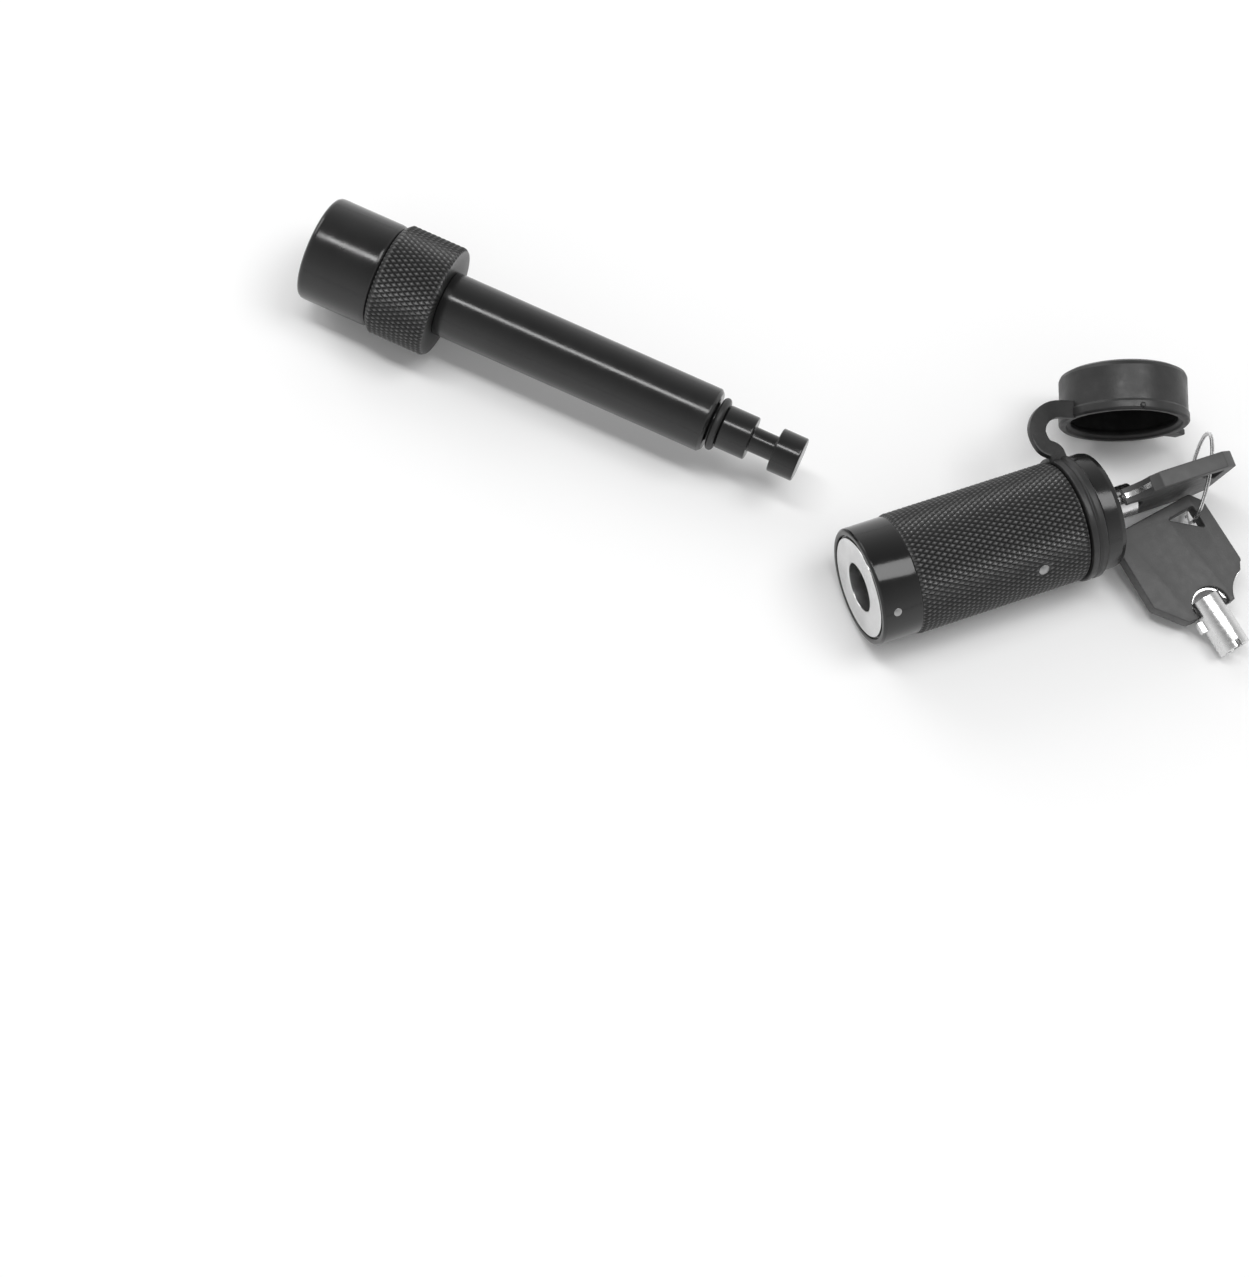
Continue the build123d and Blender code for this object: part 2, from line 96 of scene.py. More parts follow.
PIN = axes(Vector((0, 0, 0)), Vector((1, 0, 0)), UP)
BARREL = axes(MOUTH, BARREL_DIR, UP)
CUP_YAW = -64.6
CUP_TILT = -12.6
CUP_DIR = heading(CUP_YAW) * cos(radians(CUP_TILT)) + UP * sin(radians(CUP_TILT))
CUP = axes(Vector((123.95, 44.1, 0.03)) * MM, CUP_DIR, UP)
KEY_1_STATION = 68.0
KEY_1_LEAN = radians(11.0)
KEY_1_NORMAL = BARREL.col[1].to_3d() * cos(KEY_1_LEAN) + UP * sin(KEY_1_LEAN)
KEY_1 = axes(MOUTH + BARREL_DIR * KEY_1_STATION * MM, -BARREL_DIR, KEY_1_NORMAL)
KEY_2_PITCH = radians(7.6)
KEY_2_DIR = heading(-34.6) * cos(KEY_2_PITCH) - UP * sin(KEY_2_PITCH)
KEY_2_LEVEL = axes(Vector((160.03, 13.38, -9.79)) * MM, KEY_2_DIR, UP)
KEY_2 = KEY_2_LEVEL @ Matrix.Rotation(radians(3.3), 4, "X")


# ---------------------------------------------------------------- mesh helpers, in millimetres
ON_AXIS = 1e-6
FLAT_CORNER = 0.05
EDGE_SHARE = 0.45
SHORT_REACH = 1e-4


def about(place, along, radius, angle):
    """Point at a radius and angle about local X, in metres."""
    return place @ (Vector((along, radius * cos(angle), radius * sin(angle))) * MM)


def arc(centre, radius, first, last, steps=10):
    """Points of an arc between two angles in degrees, ends included."""
    points = []
    for step in range(steps + 1):
        angle = radians(first + (last - first) * step / steps)
        points.append((centre[0] + radius * cos(angle), centre[1] + radius * sin(angle)))
    return points


def softened(outline, radius, steps=4, keep_axis=True):
    """A closed outline with its corners rounded; corners on the turning axis stay."""
    soft = []
    for i, point in enumerate(outline):
        here = Vector(point)
        back = Vector(outline[i - 1]) - here
        on = Vector(outline[(i + 1) % len(outline)]) - here
        if keep_axis and here.y < ON_AXIS:
            soft.append(tuple(here))
            continue
        half = back.angle(on) / 2
        slope = max(FLAT_CORNER, abs(sin(half)) / max(FLAT_CORNER, cos(half)))
        reach = min(radius / slope, EDGE_SHARE * back.length, EDGE_SHARE * on.length)
        if cos(half) < FLAT_CORNER or reach < SHORT_REACH:
            soft.append(tuple(here))
            continue
        start = here + back.normalized() * reach
        end = here + on.normalized() * reach
        for step in range(steps + 1):
            t = step / steps
            soft.append(tuple((1 - t) ** 2 * start + 2 * t * (1 - t) * here + t ** 2 * end))
    return soft


def lathe(bm, place, outline, segments=ROUND, wobble=None):
    """Turns a closed outline of (along, radius) about local X."""
    rings = []
    for along, radius in outline:
        ring = []
        for k in range(segments if radius > ON_AXIS else 1):
            angle = 2 * pi * k / segments
            r = radius + (wobble(angle, along) if wobble else 0)
            ring.append(bm.verts.new(about(place, along, r, angle)))
        rings.append(ring)
    for ring, after in zip(rings, rings[1:] + rings[:1]):
        for k in range(segments):
            a = ring[k % len(ring)]
            b = ring[(k + 1) % len(ring)]
            c = after[(k + 1) % len(after)]
            d = after[k % len(after)]
            corners = []
            for corner in (a, b, c, d):
                if corner not in corners:
                    corners.append(corner)
            if len(corners) > 2:
                bm.faces.new(corners)


def plate(bm, place, outline, holes, thickness, bevel):
    """Flat moulded plate between two planes about local Z = 0, with rounded rims."""
    curve = bpy.data.curves.new("plate_outline", "CURVE")
    curve.dimensions = "2D"
    curve.fill_mode = "BOTH"
    curve.extrude = thickness / 2 - bevel
    curve.bevel_depth = bevel
    curve.bevel_resolution = 3
    curve.offset = -bevel
    for loop in [outline] + list(holes):
        spline = curve.splines.new("POLY")
        spline.points.add(len(loop) - 1)
        for point, (u, v) in zip(spline.points, loop):
            point.co = (u, v, 0, 1)
        spline.use_cyclic_u = True
    holder = bpy.data.objects.new("plate_outline", curve)
    bpy.context.scene.collection.objects.link(holder)
    depsgraph = bpy.context.evaluated_depsgraph_get()
    flat = bpy.data.meshes.new_from_object(holder.evaluated_get(depsgraph))
    flat.transform(place @ Matrix.Scale(MM, 4))
    bm.from_mesh(flat)
    bpy.data.objects.remove(holder)
    bpy.data.curves.remove(curve)
    bpy.data.meshes.remove(flat)


def block(bm, place, centre, size, bevel):
    """Small block with rounded edges."""
    made = bmesh.ops.create_cube(bm, size=1.0)
    for vert in made["verts"]:
        local = Vector([c + v * s for c, v, s in zip(centre, vert.co, size)])
        vert.co = place @ (local * MM)
    edges = list({edge for vert in made["verts"] for edge in vert.link_edges})
    bmesh.ops.bevel(bm, geom=edges, offset=bevel * MM, segments=3, profile=0.6, affect="EDGES")


def sweep(bm, sections):
    """Skins cross-sections that follow each other along a path, and closes both ends."""
    rings = [[bm.verts.new(point) for point in section] for section in sections]
    for ring, after in zip(rings, rings[1:]):
        for k in range(len(ring)):
            on = (k + 1) % len(ring)
            bm.faces.new((ring[k], ring[on], after[on], after[k]))
    bm.faces.new(rings[0])
    bm.faces.new(rings[-1])


def finish_piece(bm, name, material, body, nodes=(), sharp=32):
    """Turns a bmesh into a named piece that rides on a body."""
    bmesh.ops.remove_doubles(bm, verts=bm.verts, dist=1e-7)
    bmesh.ops.recalc_face_normals(bm, faces=bm.faces)
    mesh = bpy.data.meshes.new(name)
    bm.to_mesh(mesh)
    bm.free()
    mesh.polygons.foreach_set("use_smooth", [True] * len(mesh.polygons))
    mesh.set_sharp_from_angle(angle=radians(sharp))
    mesh.materials.append(material)
    piece = bpy.data.objects.new(name, mesh)
    bpy.context.scene.collection.objects.link(piece)
    if body:
        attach(piece, body)
    if nodes:
        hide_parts(*nodes)
    return piece


def turned(name, place, outline, material, body, nodes, soft=0.15, wobble=None):
    """One lathe-turned piece with softened corners."""
    bm = bmesh.new()
    lathe(bm, place, softened(outline, soft), wobble=wobble)
    return finish_piece(bm, name, material, body, nodes)


# ---------------------------------------------------------------- materials
class Nodes:
    """Short way to add and join shader nodes."""

    def __init__(self, name):
        self.material = bpy.data.materials.new(name)
        self.material.use_nodes = True
        self.tree = self.material.node_tree
        self.shader = self.tree.nodes["Principled BSDF"]
        self.coords = self.tree.nodes.new("ShaderNodeTexCoord").outputs["Object"]

    def link(self, output, socket):
        self.tree.links.new(output, socket)

    def set(self, **values):
        for key, value in values.items():
            self.shader.inputs[key.replace("_", " ")].default_value = value

    def noise(self, scale, detail=4.0, roughness=0.55):
        node = self.tree.nodes.new("ShaderNodeTexNoise")
        node.inputs["Scale"].default_value = scale
        node.inputs["Detail"].default_value = detail
        node.inputs["Roughness"].default_value = roughness
        self.link(self.coords, node.inputs["Vector"])
        return node.outputs["Fac"]

    def ramp(self, factor, stops):
        node = self.tree.nodes.new("ShaderNodeValToRGB")
        elements = node.color_ramp.elements
        while len(elements) < len(stops):
            elements.new(0.5)
        for element, (position, grey) in zip(elements, stops):
            element.position = position
            tone = grey if isinstance(grey, tuple) else (grey, grey, grey)
            element.color = (*tone, 1)
        self.link(factor, node.inputs["Fac"])
        return node.outputs["Color"]

    def math(self, operation, a, b=None):
        node = self.tree.nodes.new("ShaderNodeMath")
        node.operation = operation
        for socket, value in zip(node.inputs, (a, b)):
            if value is None:
                continue
            if isinstance(value, (int, float)):
                socket.default_value = value
            else:
                self.link(value, socket)
        return node.outputs["Value"]

    def bump(self, height, strength, distance):
        node = self.tree.nodes.new("ShaderNodeBump")
        node.inputs["Strength"].default_value = strength
        node.inputs["Distance"].default_value = distance
        self.link(height, node.inputs["Height"])
        self.link(node.outputs["Normal"], self.shader.inputs["Normal"])

    def radius_from(self, origin, axis):
        """Distance from a turning axis."""
        shift = self.tree.nodes.new("ShaderNodeVectorMath")
        shift.operation = "SUBTRACT"
        shift.inputs[1].default_value = origin
        self.link(self.coords, shift.inputs[0])
        cross = self.tree.nodes.new("ShaderNodeVectorMath")
        cross.operation = "CROSS_PRODUCT"
        cross.inputs[1].default_value = axis
        self.link(shift.outputs["Vector"], cross.inputs[0])
        length = self.tree.nodes.new("ShaderNodeVectorMath")
        length.operation = "LENGTH"
        self.link(cross.outputs["Vector"], length.inputs[0])
        return length.outputs["Value"]

    def attribute(self, name):
        node = self.tree.nodes.new("ShaderNodeAttribute")
        node.attribute_name = name
        return node.outputs["Fac"]


def coated(name, dark, light, rough_low, rough_high, grain, grain_depth):
    """Black coating on steel: faint cloudy tone, uneven gloss, fine grain."""
    n = Nodes(name)
    n.set(Metallic=0.0, IOR=1.5)
    cloud = n.noise(90.0, 5.0)
    n.link(n.ramp(cloud, ((0.3, dark), (0.72, light))), n.shader.inputs["Base Color"])
    gloss = n.ramp(n.noise(260.0, 6.0), ((0.3, rough_low), (0.7, rough_high)))
    n.link(gloss, n.shader.inputs["Roughness"])
    n.bump(n.noise(grain, 3.0), 0.5, grain_depth)
    return n.material


def knurled_coat():
    """Black coating on cut knurl: grooves painted darker as shade in the recesses, crests painted lighter, partly
    as rubbed wear and partly as a painted highlight.
    """
    n = Nodes("knurled_black_coat")
    n.set(Metallic=0.0, IOR=1.5)
    crest = n.attribute("crest")
    # tone follows knurl height: painted shade in the grooves, painted highlight on the crests (crests partly also
    # rubbed wear)
    tone = n.ramp(crest, ((0.15, 0.006), (0.6, 0.03), (1.0, 0.2)))
    worn = n.ramp(n.noise(420.0, 4.0), ((0.35, 0.65), (0.7, 1.0)))
    blend = n.tree.nodes.new("ShaderNodeMix")
    blend.data_type = "RGBA"
    blend.blend_type = "MULTIPLY"
    blend.inputs["Factor"].default_value = 1.0
    n.link(tone, blend.inputs["A"])
    n.link(worn, blend.inputs["B"])
    n.link(blend.outputs["Result"], n.shader.inputs["Base Color"])
    n.link(n.ramp(crest, ((0.2, 0.45), (1.0, 0.22))), n.shader.inputs["Roughness"])
    n.bump(n.noise(2600.0, 3.0), 0.4, 0.00003)
    return n.material


def turned_steel(name, origin, axis, pitch, tone_low, tone_high, rough):
    """Bare steel with the fine rings a lathe tool leaves about its axis."""
    n = Nodes(name)
    n.set(Metallic=1.0)
    radius = n.radius_from(origin, axis)
    rings = n.math("SINE", n.math("MULTIPLY", radius, 2 * pi / pitch))
    uneven = n.math("ADD", rings, n.math("MULTIPLY", n.noise(700.0, 4.0), 1.6))
    tone = n.ramp(n.noise(160.0, 5.0), ((0.3, tone_low), (0.7, tone_high)))
    n.link(tone, n.shader.inputs["Base Color"])
    n.link(n.ramp(uneven, ((0.0, rough - 0.05), (1.0, rough + 0.08))), n.shader.inputs["Roughness"])
    n.bump(uneven, 0.35, 0.00003)
    return n.material


def plated(name, tone_low, tone_high, rough_low, rough_high):
    """Bright plating with faint scuffs."""
    n = Nodes(name)
    n.set(Metallic=1.0)
    tone = n.ramp(n.noise(300.0, 5.0), ((0.3, tone_low), (0.7, tone_high)))
    scuffs = n.ramp(n.noise(900.0, 6.0), ((0.35, rough_low), (0.7, rough_high)))
    n.link(tone, n.shader.inputs["Base Color"])
    n.link(scuffs, n.shader.inputs["Roughness"])
    n.bump(n.noise(1500.0, 3.0), 0.25, 0.00001)
    return n.material


def rubber():
    """Moulded rubber: matte, cloudy with handling marks, fine grain."""
    n = Nodes("matte_rubber")
    n.set(Metallic=0.0, IOR=1.45)
    tone = n.ramp(n.noise(140.0, 7.0, 0.6), ((0.3, 0.014), (0.6, 0.026), (0.8, 0.05)))
    n.link(tone, n.shader.inputs["Base Color"])
    n.link(n.ramp(n.noise(220.0, 5.0), ((0.3, 0.3), (0.7, 0.5))), n.shader.inputs["Roughness"])
    n.bump(n.noise(1400.0, 5.0), 0.5, 0.00005)
    return n.material


def key_plastic():
    """Moulded key head plastic: even dark grey with a spark-eroded grain."""
    n = Nodes("grained_key_plastic")
    n.set(Metallic=0.0, IOR=1.48)
    n.link(n.ramp(n.noise(120.0, 5.0), ((0.3, 0.05), (0.7, 0.062))), n.shader.inputs["Base Color"])
    n.link(n.ramp(n.noise(500.0, 4.0), ((0.3, 0.42), (0.7, 0.52))), n.shader.inputs["Roughness"])
    n.bump(n.noise(3200.0, 3.0), 0.5, 0.00005)
    return n.material


SATIN_BLACK = coated("satin_black_coat", 0.009, 0.014, 0.15, 0.22, 1800.0, 0.00002)
GLOSS_BLACK = coated("gloss_black_coat", 0.006, 0.009, 0.1, 0.16, 1100.0, 0.00001)
KNURL_BLACK = knurled_coat()
FACE_STEEL = turned_steel("turned_face_steel", MOUTH, BARREL_DIR, 0.00022, 0.66, 0.8, 0.3)
BORE_STEEL = turned_steel("machined_bore_steel", MOUTH, BARREL_DIR, 0.0004, 0.3, 0.42, 0.38)
CHROME = plated("bright_chrome", 0.68, 0.76, 0.2, 0.32)
PIN_STEEL = plated("cross_pin_steel", 0.3, 0.4, 0.28, 0.4)
SPRING_STEEL = plated("spring_steel", 0.45, 0.55, 0.25, 0.35)
BRASS = plated("drawn_brass", (0.62, 0.46, 0.2), (0.74, 0.58, 0.3), 0.2, 0.32)
RUBBER = rubber()
PLASTIC = key_plastic()

CAD_MATERIALS = {
    "inner_core": BORE_STEEL,
    "lock_cylinder_case": CHROME,
    "retaining_clip": SPRING_STEEL,
    "lock_plug": CHROME,
    "plug_cam": SPRING_STEEL,
    "cam_screw": SPRING_STEEL,
    "tumbler_pins": BRASS,
    "tumbler_springs": SPRING_STEEL,
    "latch_bolt": SPRING_STEEL,
    "latch_spring": SPRING_STEEL,
}
for node, material in CAD_MATERIALS.items():
    for material_slot in frame["nodes"][node].material_slots:
        material_slot.material = material

# ---------------------------------------------------------------- pin
HEAD_BACK = -68.6
SPIGOT_BACK = -58
COLLAR_BACK = -50.4
GRIP_START = -35.1
GRIP_END = 34.2
SHANK_END = 35
GROOVE_END = 37.8
STUB_END = 45.2
NECK_END = 51.3
TIP = 57.7
HEAD_CAP_R = 12.9
HEAD_KNURL_R = 13.85
SPIGOT_R = 6
SHANK_R = 7.9375
SHANK_CHAMFER = 0.8
GROOVE_R = 4.7
STUB_R = 5.35
NECK_R = 3.075
BUTTON_R = 5.4
turned(
    "pin_turned", PIN,
    [
        (SPIGOT_BACK, 0), (SPIGOT_BACK, SPIGOT_R), (GRIP_START, SPIGOT_R), (GRIP_START, SHANK_R),
        (GRIP_END, SHANK_R), (SHANK_END, SHANK_R - SHANK_CHAMFER), (SHANK_END, GROOVE_R),
        (GROOVE_END, GROOVE_R), (GROOVE_END, STUB_R), (STUB_END, STUB_R), (STUB_END, NECK_R),
        (NECK_END, NECK_R), (NECK_END, BUTTON_R), (TIP, BUTTON_R), (TIP, 0),
    ],
    SATIN_BLACK, "pin", ["pin_shank"], soft=0.45,
)
turned(
    "head_cap_turned", PIN,
    [
        (HEAD_BACK, 0), (HEAD_BACK, HEAD_CAP_R), (COLLAR_BACK, HEAD_CAP_R), (COLLAR_BACK, SPIGOT_R),
        (SPIGOT_BACK, SPIGOT_R), (SPIGOT_BACK, 0),
    ],
    SATIN_BLACK, "pin", ["head_cap"], soft=1.5,
)
O_RING_CENTRE = (36.55, 5.65)
O_RING_CORD_R = 0.95
bm = bmesh.new()
lathe(bm, PIN, arc(O_RING_CENTRE, O_RING_CORD_R, 0, 345, 23))
finish_piece(bm, "tip_o_ring_rubber", RUBBER, "pin", ["tip_o_ring"])

KNURL_PITCH = 1.31
KNURL_SLANT = 1.9
KNURL_DEPTH = 0.38
CREST_FLAT = 1.25
CLEARED = 0.35
CELL = 4


def knurl(name, place, start, end, crest_r, bore, front, back, body, node, clear=()):
    """Diamond-knurled sleeve: pyramids cut by two helices, cones at its ends."""
    bm = bmesh.new()
    level = bm.verts.layers.float.new("crest")
    count = round(2 * pi * crest_r / KNURL_PITCH)
    row_step = 2 * pi * crest_r / count * KNURL_SLANT / CELL
    around = count * CELL
    rows = round((end - start) / row_step)
    row_step = (end - start) / rows
    rings = []
    for j in range(rows + 1):
        along = start + j * row_step
        cone = min(crest_r, crest_r - front + (along - start), crest_r - back + (end - along))
        ring = []
        for k in range(around):
            angle = 2 * pi * k / around
            waves = [1 - abs(((k + side * j) / CELL) % 1 * 2 - 1) for side in (1, -1)]
            height = min(1.0, CREST_FLAT * min(waves))
            for clear_along, clear_angle, clear_r in clear:
                gap = abs((angle - clear_angle + pi) % (2 * pi) - pi) * crest_r
                if sqrt(gap ** 2 + (along - clear_along) ** 2) < clear_r:
                    height = CLEARED
            r = min(crest_r - KNURL_DEPTH * (1 - height), cone)
            vert = bm.verts.new(about(place, along, r, angle))
            vert[level] = height
            ring.append(vert)
        rings.append(ring)
    for j in range(rows):
        for k in range(around):
            a = rings[j][k]
            b = rings[j][(k + 1) % around]
            c = rings[j + 1][(k + 1) % around]
            d = rings[j + 1][k]
            if (k + j + 1) % CELL == 0:
                bm.faces.new((a, b, d))
                bm.faces.new((b, c, d))
            else:
                bm.faces.new((a, b, c))
                bm.faces.new((a, c, d))
    inner = []
    for along in (start, end):
        inner.append([
            bm.verts.new(about(place, along, bore, 2 * pi * k / around)) for k in range(around)
        ])
    for near, far in ((rings[0], inner[0]), (inner[0], inner[1]), (inner[1], rings[-1])):
        for k in range(around):
            bm.faces.new((near[k], far[k], far[(k + 1) % around], near[(k + 1) % around]))
    return finish_piece(bm, name, KNURL_BLACK, body, [node], sharp=20)


knurl(
    "head_collar_knurl", PIN, COLLAR_BACK, GRIP_START, HEAD_KNURL_R, SPIGOT_R, 1.2, 0.6,
    "pin", "head_knurled_collar",
)

# ---------------------------------------------------------------- barrel housing
FRONT_COLLAR_END = 10.0
SLEEVE_END = 52.6
RING_SEAT_END = 57.3
BARREL_END = 62.5
PLATE_R = 12.05
PLATE_GROOVE_R = 12.6
FRONT_COLLAR_R = 14.2
SLEEVE_R = 14.6
RING_SEAT_R = 12.9
REAR_COLLAR_R = 14.1
STRAP_RING_R = 15.2
CASE_R = 9.55
MOUTH_R = 5.9
REAR_PIN = (40.5, radians(151.0))
FRONT_PIN = (3.5, radians(145.0))
knurl(
    "sleeve_knurl", BARREL, FRONT_COLLAR_END, SLEEVE_END, SLEEVE_R, PLATE_R, 0.6, 0.4,
    "barrel", "knurled_sleeve", clear=[(REAR_PIN[0], REAR_PIN[1], 1.7)],
)
turned(
    "face_plate_turned", BARREL,
    [(0.0, 6.2), (0.0, PLATE_R), (7.0, PLATE_R), (7.0, MOUTH_R), (0.3, MOUTH_R)],
    FACE_STEEL, "barrel", ["front_face_plate"], soft=0.18,
)
turned(
    "front_collar_turned", BARREL,
    [
        (0.0, PLATE_GROOVE_R), (0.0, 13.7), (0.5, FRONT_COLLAR_R), (FRONT_COLLAR_END, FRONT_COLLAR_R),
        (FRONT_COLLAR_END, PLATE_R), (0.9, PLATE_R), (0.9, PLATE_GROOVE_R),
    ],
    GLOSS_BLACK, "barrel", ["front_collar"], soft=0.4,
)
turned(
    "rear_collar_turned", BARREL,
    [
        (SLEEVE_END, CASE_R), (SLEEVE_END, RING_SEAT_R), (RING_SEAT_END, RING_SEAT_R),
        (RING_SEAT_END, REAR_COLLAR_R), (61.0, REAR_COLLAR_R), (62.1, 13.8), (BARREL_END, 12.9),
        (BARREL_END, CASE_R),
    ],
    SATIN_BLACK, "barrel", ["rear_collar"], soft=0.35,
)
turned(
    "strap_ring_rubber", BARREL,
    [
        (53.1, RING_SEAT_R), (53.1, STRAP_RING_R), (54.5, STRAP_RING_R), (55.0, 14.75),
        (55.5, STRAP_RING_R), (57.0, STRAP_RING_R), (57.0, RING_SEAT_R),
    ],
    RUBBER, "barrel", ["strap_ring"], soft=0.45,
    wobble=lambda angle, along: -0.05 + 0.05 * sin(3 * angle + 0.7),
)


DOWEL_R = 1.29
DOME_R = 2.0
DOME_SET = 1.75


def dowel(name, along, angle, inner, outer, node):
    """Bright cross pin with a domed, bevelled end, set radially into the barrel."""
    outward = BARREL.col[1].to_3d() * cos(angle) + UP * sin(angle)
    foot = MOUTH + BARREL_DIR * along * MM
    place = axes(foot, outward, BARREL_DIR)
    dome = arc((outer - DOME_SET, 0), DOME_R, 40, 0, 8)
    bm = bmesh.new()
    lathe(bm, place, [(inner, 0), (inner, DOWEL_R)] + dome, 48)
    return finish_piece(bm, name, PIN_STEEL, "barrel", [node], sharp=50)


dowel("front_pin_domed", *FRONT_PIN, 8.5, FRONT_COLLAR_R, "front_cross_pin")
dowel("rear_pin_domed", *REAR_PIN, 9.8, SLEEVE_R, "rear_cross_pin")

# ---------------------------------------------------------------- keys
HEAD_THICK = 4.0
HEAD_BEVEL = 0.3
KEY_R = 3.9
KEY_BORE = 3.0
CROWN_INSET = 0.01
CROWN_STEPS = 88
BLADE_STEPS = 20
THUMB_CUT = (2.6, 13.0)
ROOT_NOTCH = (-0.3, 0)


def key_outline():
    """Outline of the head: chamfered plate, round notch at the barrel, concave thumb cut."""
    notch = arc(ROOT_NOTCH, 4.7, -74, -286, 24)
    thumb = arc(THUMB_CUT, 7.2, 257.2, 195.1, 14)
    corners = softened(
        [
            (-6.3, 12.7), (-23.2, 12.5), (-26.2, 10.2), (-26.2, -10.2), (-23.2, -12.5), (-6.3, -12.7),
            (1.0, -6.8),
        ],
        0.8, keep_axis=False,
    )
    return notch + [(1.0, 5.98)] + thumb[1:] + corners


def blade_edge(bm, place, centre, buried_r, shown_r, first, last):
    """Edge of the steel blade inside the head, standing a little proud of a round cut."""
    sections = []
    for (u_in, v_in), (u_out, v_out) in zip(
        arc(centre, buried_r, first, last, BLADE_STEPS), arc(centre, shown_r, first, last, BLADE_STEPS),
    ):
        sections.append([
            place @ (Vector(point) * MM) for point in (
                (u_in, v_in, -0.7), (u_out, v_out, -0.6), (u_out, v_out, 0.6), (u_in, v_in, 0.7),
            )
        ])
    sweep(bm, sections)


def crown(bm, place, start, end, inner, outer, gap_angle, gap_half):
    """Working end of the key tube: a ring open at its notch."""
    rim = outer - CROWN_INSET
    profile = [
        (start, inner), (start, rim), (end - 0.2, rim), (end, outer - 0.2), (end, inner + 0.2),
        (end - 0.2, inner),
    ]
    sections = []
    for k in range(CROWN_STEPS + 1):
        turn = radians(gap_angle + gap_half + (360 - 2 * gap_half) * k / CROWN_STEPS)
        sections.append([about(place, along, r, turn) for along, r in profile])
    sweep(bm, sections)


def key(number, place, body):
    """One key: moulded head, plated tube with lug and working notch, bright blade edge."""
    bm = bmesh.new()
    hole = softened([(-23.3, 1.9), (-17.2, 9.4), (-23.3, 9.4)], 0.5, keep_axis=False)
    plate(bm, place, key_outline(), [hole], HEAD_THICK, HEAD_BEVEL)
    for side in (-1, 1):
        block(bm, place, (0.0, side * 4.4, 0.0), (1.3, 1.2, 1.3), 0.2)
    finish_piece(
        bm, f"key_{number}_head_moulded", PLASTIC, body, [f"key_{number}_head"],
    )

    bm = bmesh.new()
    tube = [(-2.8, 0), (-2.8, KEY_R), (9.7, KEY_R), (9.7, KEY_BORE), (3.5, KEY_BORE), (3.5, 0)]
    lathe(bm, place, softened(tube, 0.22), 96)
    finish_piece(bm, f"key_{number}_tube", CHROME, body, [f"key_{number}_barrel"])

    bm = bmesh.new()
    crown(bm, place, 9.6, 11.3, 3.02, KEY_R, 90.0, 9.0)
    block(bm, place, (3.05, -KEY_R - 0.2, 0.0), (2.9, 2.0, 1.8), 0.2)
    finish_piece(bm, f"key_{number}_crown", CHROME, body)

    bm = bmesh.new()
    blade_edge(bm, place, THUMB_CUT, 7.5, 6.95, 255, 197)
    blade_edge(bm, place, ROOT_NOTCH, 4.9, 4.25, -88, -272)
    finish_piece(bm, f"key_{number}_blade_edge", CHROME, body)


key(1, KEY_1, "key_in_lock")
key(2, KEY_2, "spare_key")

# ---------------------------------------------------------------- split ring
RING_R = 11.0
WIRE_R = 0.42
WIRE_FLAT_R = 0.23
TURN_GAP = 0.25
WIRE_SIDES = 14
RING_STEPS = 360
RING_WAVE = 0.08
BLUNT_END = 0.55
bm = bmesh.new()
ring_place = axes(RING_CENTRE, RING_NORMAL, UP)
sections = []
FIRST_END = radians(20)
CROSSING = radians(26)
SPLIT_AT = radians(215)
for k in range(RING_STEPS + 1):
    t = FIRST_END + (4 * pi - 2 * FIRST_END) * k / RING_STEPS
    passed = min(1.0, max(0.0, (t - 2 * pi + CROSSING / 2) / CROSSING))
    offset = TURN_GAP * (2 * passed * passed * (3 - 2 * passed) - 1)
    turn = t + SPLIT_AT
    radial = Vector((0, cos(turn), sin(turn)))
    centre = radial * (RING_R - RING_WAVE * sin(turn * 2)) + Vector((offset, 0, 0))
    taper = min(1.0, BLUNT_END + min(k, RING_STEPS - k) / 4)
    section = []
    for i in range(WIRE_SIDES):
        angle = 2 * pi * i / WIRE_SIDES
        across = Vector((WIRE_FLAT_R * taper * sin(angle), 0, 0))
        point = centre + radial * WIRE_R * taper * cos(angle) + across
        section.append(ring_place @ (point * MM))
    sections.append(section)
sweep(bm, sections)
finish_piece(bm, "split_ring", CHROME, "ring", ["key_ring"], sharp=60)

# ---------------------------------------------------------------- dust cap and tether
CUP_DEPTH = 12.6


def moulding(angle, along):
    """Slight out-of-round of a soft moulding, least at its stiff end wall."""
    loose = min(1.0, max(0.0, (along + CUP_DEPTH) / CUP_DEPTH))
    return loose * (0.09 * sin(2 * angle + 0.6) + 0.05 * sin(5 * angle)) - 0.12 * loose


bm = bmesh.new()
cup_outline = [
    (-CUP_DEPTH, 0), (-CUP_DEPTH, 13.6), (-11.9, 14.9), (-11.0, 15.3), (-2.6, 15.3), (-2.1, 15.6),
    (-0.5, 15.6), (0.0, 15.1), (0.0, 13.9), (-0.5, 13.6), (-0.9, 12.75), (-1.7, 12.75),
    (-2.4, 13.1), (-9.6, 13.1), (-10.6, 12.1), (-10.6, 0),
]
lathe(bm, CUP, softened(cup_outline, 0.35), wobble=moulding)
TAB_ANGLE = radians(-28)
tab_place = CUP @ Matrix.Rotation(TAB_ANGLE, 4, "X") @ Matrix((
    (0, 0, 1, -0.8 * MM), (1, 0, 0, 0), (0, 1, 0, 0), (0, 0, 0, 1),
))
tab_outline = softened(
    [(14.4, -2.6), (16.2, -2.0), (18.4, -1.7), (18.4, 1.7), (16.2, 2.0), (14.4, 2.6)],
    0.5, keep_axis=False,
)
plate(bm, tab_place, tab_outline, [], 1.5, 0.35)
nub_turn = radians(88)
nub_foot = about(CUP, -0.9, 15.0, nub_turn)
nub_out = (CUP.to_3x3() @ Vector((0, cos(nub_turn), sin(nub_turn)))).normalized()
lathe(bm, axes(nub_foot, nub_out, CUP_DIR), [(0, 0), (0, 0.75), (0.7, 0.65), (1.0, 0.4), (1.1, 0)], 24)
finish_piece(bm, "dust_cap_rubber", RUBBER, "cap", ["dust_cap"])

